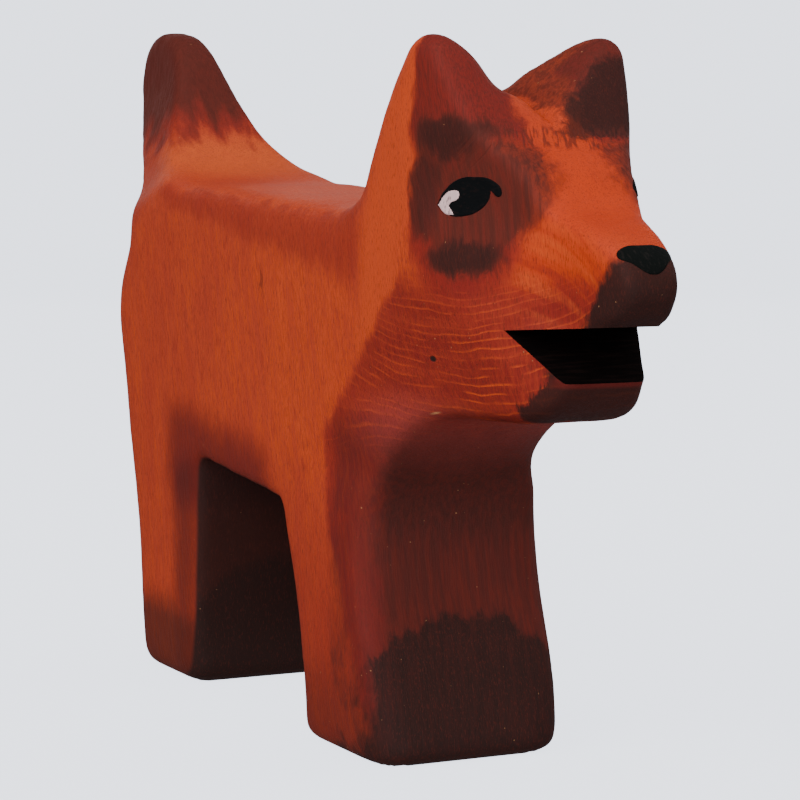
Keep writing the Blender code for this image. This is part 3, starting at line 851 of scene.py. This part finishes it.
def studio_floor(colours):
    """A round floor that curves up into a wall, made by spinning its section."""
    bm = bmesh.new()
    section = [Vector((0, 0, 0)), Vector((FLOOR_RADIUS, 0, 0))]
    steps = 12
    for step in range(1, steps + 1):
        angle = math.radians(90 * step / steps)
        out, up = FLOOR_BEND * math.sin(angle), FLOOR_BEND * (1 - math.cos(angle))
        section.append(Vector((FLOOR_RADIUS + out, 0, up)))
    section.append(Vector((FLOOR_RADIUS + FLOOR_BEND, 0, WALL_TOP)))
    verts = [bm.verts.new(point) for point in section]
    edges = [bm.edges.new(pair) for pair in zip(verts, verts[1:])]
    bmesh.ops.spin(
        bm, geom=verts + edges, cent=(0, 0, 0), axis=(0, 0, 1), angle=math.tau, steps=96,
        use_merge=True)
    bmesh.ops.remove_doubles(bm, verts=bm.verts, dist=MM)
    bmesh.ops.recalc_face_normals(bm, faces=bm.faces)
    bmesh.ops.reverse_faces(bm, faces=bm.faces)
    floor = new_object("studio_floor", mesh_from(bm, "studio_floor"))
    shaded_smooth(floor.data)
    finish = Finish("studio_floor")
    dust = finish.mottle((0.01, 0.01, 0.01), 2, 0.5)
    tone = finish.mix(dust * 0.02, colours.floor, (0.5, 0.5, 0.52))
    floor.data.materials.append(finish.shade(
        Base_Color=(0.2, 0.2, 0.21), Roughness=0.9, Emission_Color=tone, Emission_Strength=2.85,
        Specular_IOR_Level=0.0))
    floor.visible_diffuse = floor.visible_glossy = floor.visible_shadow = False


def studio_camera():
    """Looks at the dog from the photograph's place, through a lens of its reach."""
    back = bearing(*CAMERA_BEARING)
    lens = bpy.data.cameras.new("camera")
    lens.sensor_width = SENSOR_WIDTH
    lens.lens = SENSOR_WIDTH * CAMERA_REACH / FRAME_WIDTH
    lens.clip_start = 0.01
    lens.clip_end = 20
    camera = new_object("camera", lens)
    camera.rotation_mode = "QUATERNION"
    roll = Matrix.Rotation(math.radians(CAMERA_ROLL), 4, "Z").to_quaternion()
    camera.rotation_quaternion = back.to_track_quat("Z", "Y") @ roll
    camera.location = Vector(CAMERA_AIM) * MM + back * CAMERA_DISTANCE * MM
    return camera


def studio_air():
    """A dim cool light from all round."""
    world = bpy.data.worlds.new("studio_air")
    world.use_nodes = True
    background = world.node_tree.nodes["Background"]
    background.inputs["Color"].default_value = (0.80, 0.82, 0.86, 1)
    background.inputs["Strength"].default_value = 0.17
    return world


# The steps


class DOG_OT_body(bpy.types.Operator):
    """Sands and stains the carved block"""

    bl_idname = "dog.body"
    bl_label = "Carved Body"

    def execute(self, context):
        colours = context.scene.dog_colours
        finishes = stained_wood(colours), mouth_stain_and_shade(colours)
        block = new_object("dog_body", wood_block(context.scene.dog_sizes))
        cutter = knife()
        for finish in finishes:
            block.data.materials.append(finish)
            cutter.data.materials.append(finish)
        cut = block.modifiers.new("knife", "BOOLEAN")
        cut.operation = "DIFFERENCE"
        cut.solver = "EXACT"
        cut.material_mode = "TRANSFER"
        cut.object = cutter
        bm = opened(evaluated(block))
        cleaned(bm, 0.02 * MM)
        bpy.data.objects.remove(cutter)
        body = new_object("dog_body", mesh_from(bm, "dog_body"))
        finished(body, finishes, "carved_body")
        body.data.set_sharp_from_angle(angle=math.radians(38))
        return {"FINISHED"}


class DOG_OT_eyes(bpy.types.Operator):
    """Paints the black of both eyes"""

    bl_idname = "dog.eyes"
    bl_label = "Eyes"

    def execute(self, context):
        black = context.scene.dog_colours.black
        finish = brushed_paint(
            "eye_paint", black, thin=(0.012, 0.007, 0.007), strokes=(1, 1.4, 4), roughness=0.32)
        thickness = context.scene.dog_sizes.paint
        for side, name in SIDES:
            eye = coat(f"{name}_eye_paint", EYE, beside_head(side), thickness, 0.1 * MM)
            finished(eye, [finish], f"{name}_eye")
        return {"FINISHED"}


class DOG_OT_highlights(bpy.types.Operator):
    """Paints the white fleck at the back of each eye"""

    bl_idname = "dog.highlights"
    bl_label = "Highlights"

    def execute(self, context):
        white = context.scene.dog_colours.white
        finish = brushed_paint(
            "highlight_paint", white, thin=(0.10, 0.045, 0.05), strokes=(1, 3.2, 1.2),
            roughness=0.45)
        thickness = 1.8 * context.scene.dog_sizes.paint  # It lies over the black of the eye
        for side, name in SIDES:
            fleck = coat(
                f"{name}_highlight_paint", HIGHLIGHT, beside_head(side), thickness, 0.05 * MM)
            finished(fleck, [finish], f"{name}_eye_highlight")
        return {"FINISHED"}


class DOG_OT_nose(bpy.types.Operator):
    """Paints the nose"""

    bl_idname = "dog.nose"
    bl_label = "Nose"

    def execute(self, context):
        black = context.scene.dog_colours.nose
        finish = brushed_paint(
            "nose_paint", black, thin=(0.015, 0.012, 0.011), strokes=(3, 1, 1), roughness=0.3)
        thickness = 1.3 * context.scene.dog_sizes.paint
        nose = coat("nose_paint", NOSE, before_nose(), thickness, 0.1 * MM)
        finished(nose, [finish], "nose")
        return {"FINISHED"}


class DOG_OT_studio(bpy.types.Operator):
    """Sets the floor, the lights and the camera"""

    bl_idname = "dog.studio"
    bl_label = "Studio"

    def execute(self, context):
        scene = context.scene
        studio_floor(scene.dog_colours)
        softbox("key", (-75, 32), 0.9, (0.7, 0.7), 8.4, colour=(1, 0.98, 0.97))
        softbox("overhead", (10, 75), 0.9, (0.9, 0.9), 4.2)
        softbox("fill", (-5, 0), 1.2, (0.8, 0.8), 7.2)
        softbox("bounce", (-30, -32), 1.0, (1.0, 1.0), 3.2)
        softbox("beside", (88, 24), 1.0, (0.8, 0.8), 6.0)
        softbox("glance", (154, 14), 1.2, (1.2, 0.4), 1.3, colour=(1, 0.93, 0.84), in_gloss=True)
        scene.world = studio_air()
        scene.camera = studio_camera()
        return {"FINISHED"}


STEPS = (DOG_OT_body, DOG_OT_eyes, DOG_OT_highlights, DOG_OT_nose, DOG_OT_studio)


class DOG_PT_sidebar(bpy.types.Panel):
    """Lists the sizes, the colours and the steps"""

    bl_idname = "DOG_PT_sidebar"
    bl_label = "Wooden Dog"
    bl_space_type = "VIEW_3D"
    bl_region_type = "UI"
    bl_category = "Wooden Dog"

    def draw(self, context):
        layout = self.layout
        for group in (context.scene.dog_sizes, context.scene.dog_colours):
            for name in group.bl_rna.properties.keys():
                if name not in ("rna_type", "name"):
                    layout.prop(group, name)
        for step in STEPS:
            layout.operator(step.bl_idname)


CLASSES = (DogSizes, DogColours, *STEPS, DOG_PT_sidebar)


def register():
    for cls in CLASSES:
        bpy.utils.register_class(cls)
    bpy.types.Scene.dog_sizes = PointerProperty(type=DogSizes)
    bpy.types.Scene.dog_colours = PointerProperty(type=DogColours)


def unregister():
    del bpy.types.Scene.dog_colours
    del bpy.types.Scene.dog_sizes
    for cls in reversed(CLASSES):
        bpy.utils.unregister_class(cls)


def main():
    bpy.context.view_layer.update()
    register()
    bpy.ops.dog.body()
    bpy.ops.dog.eyes()
    bpy.ops.dog.highlights()
    bpy.ops.dog.nose()
    bpy.ops.dog.studio()


if __name__ == "__main__":
    main()
